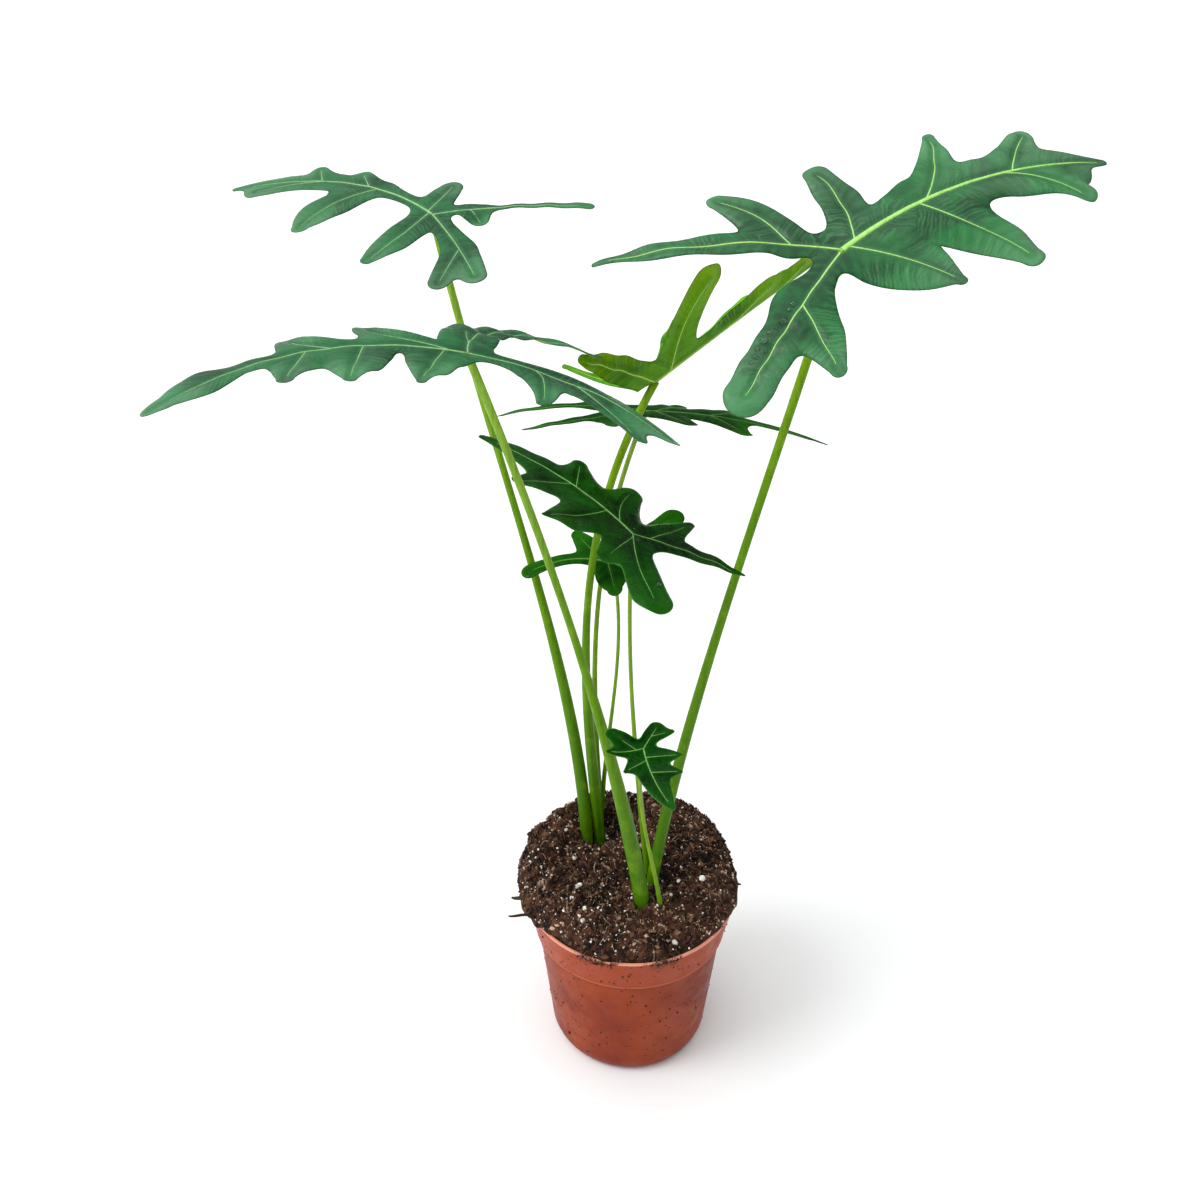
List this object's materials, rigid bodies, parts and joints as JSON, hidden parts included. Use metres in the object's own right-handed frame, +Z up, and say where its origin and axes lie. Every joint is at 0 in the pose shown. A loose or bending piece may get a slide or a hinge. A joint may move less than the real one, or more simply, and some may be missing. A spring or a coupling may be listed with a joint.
{
  "type": "potted alocasia portei",
  "caption": "Potted aroid house plant: large deeply lobed wavy leaves on slender upright stems, in a round tapered nursery pot of soil.",
  "frame": {"origin": "middle of the pot's flat bottom, on the surface that it stands on", "axes": "+Z up; the front of the plant faces -Y, and +X is to the right as seen from the front"},
  "size_m": [0.4132, 0.2476, 0.4872],
  "materials": {
    "pot": "satin",
    "soil": "matte",
    "rhizome": "matte",
    "petiole": "satin",
    "blade": "satin",
    "blade_dark": "satin",
    "blade_olive": "satin"
  },
  "bodies": {
    "root": {"pot": "pot", "soil": "soil", "rhizome_left": "rhizome", "rhizome_right": "rhizome", "petiole_a": "petiole", "petiole_b": "petiole", "petiole_c": "petiole", "petiole_d": "petiole", "petiole_e": "petiole", "petiole_f": "petiole", "petiole_g": "petiole", "petiole_h": "petiole", "blade_a": "blade", "blade_b": "blade", "blade_c": "blade", "blade_d": "blade_olive", "blade_e": "blade_dark", "blade_f": "blade_dark", "blade_g": "blade_dark", "blade_h": "blade_dark"}
  },
  "joints": []
}
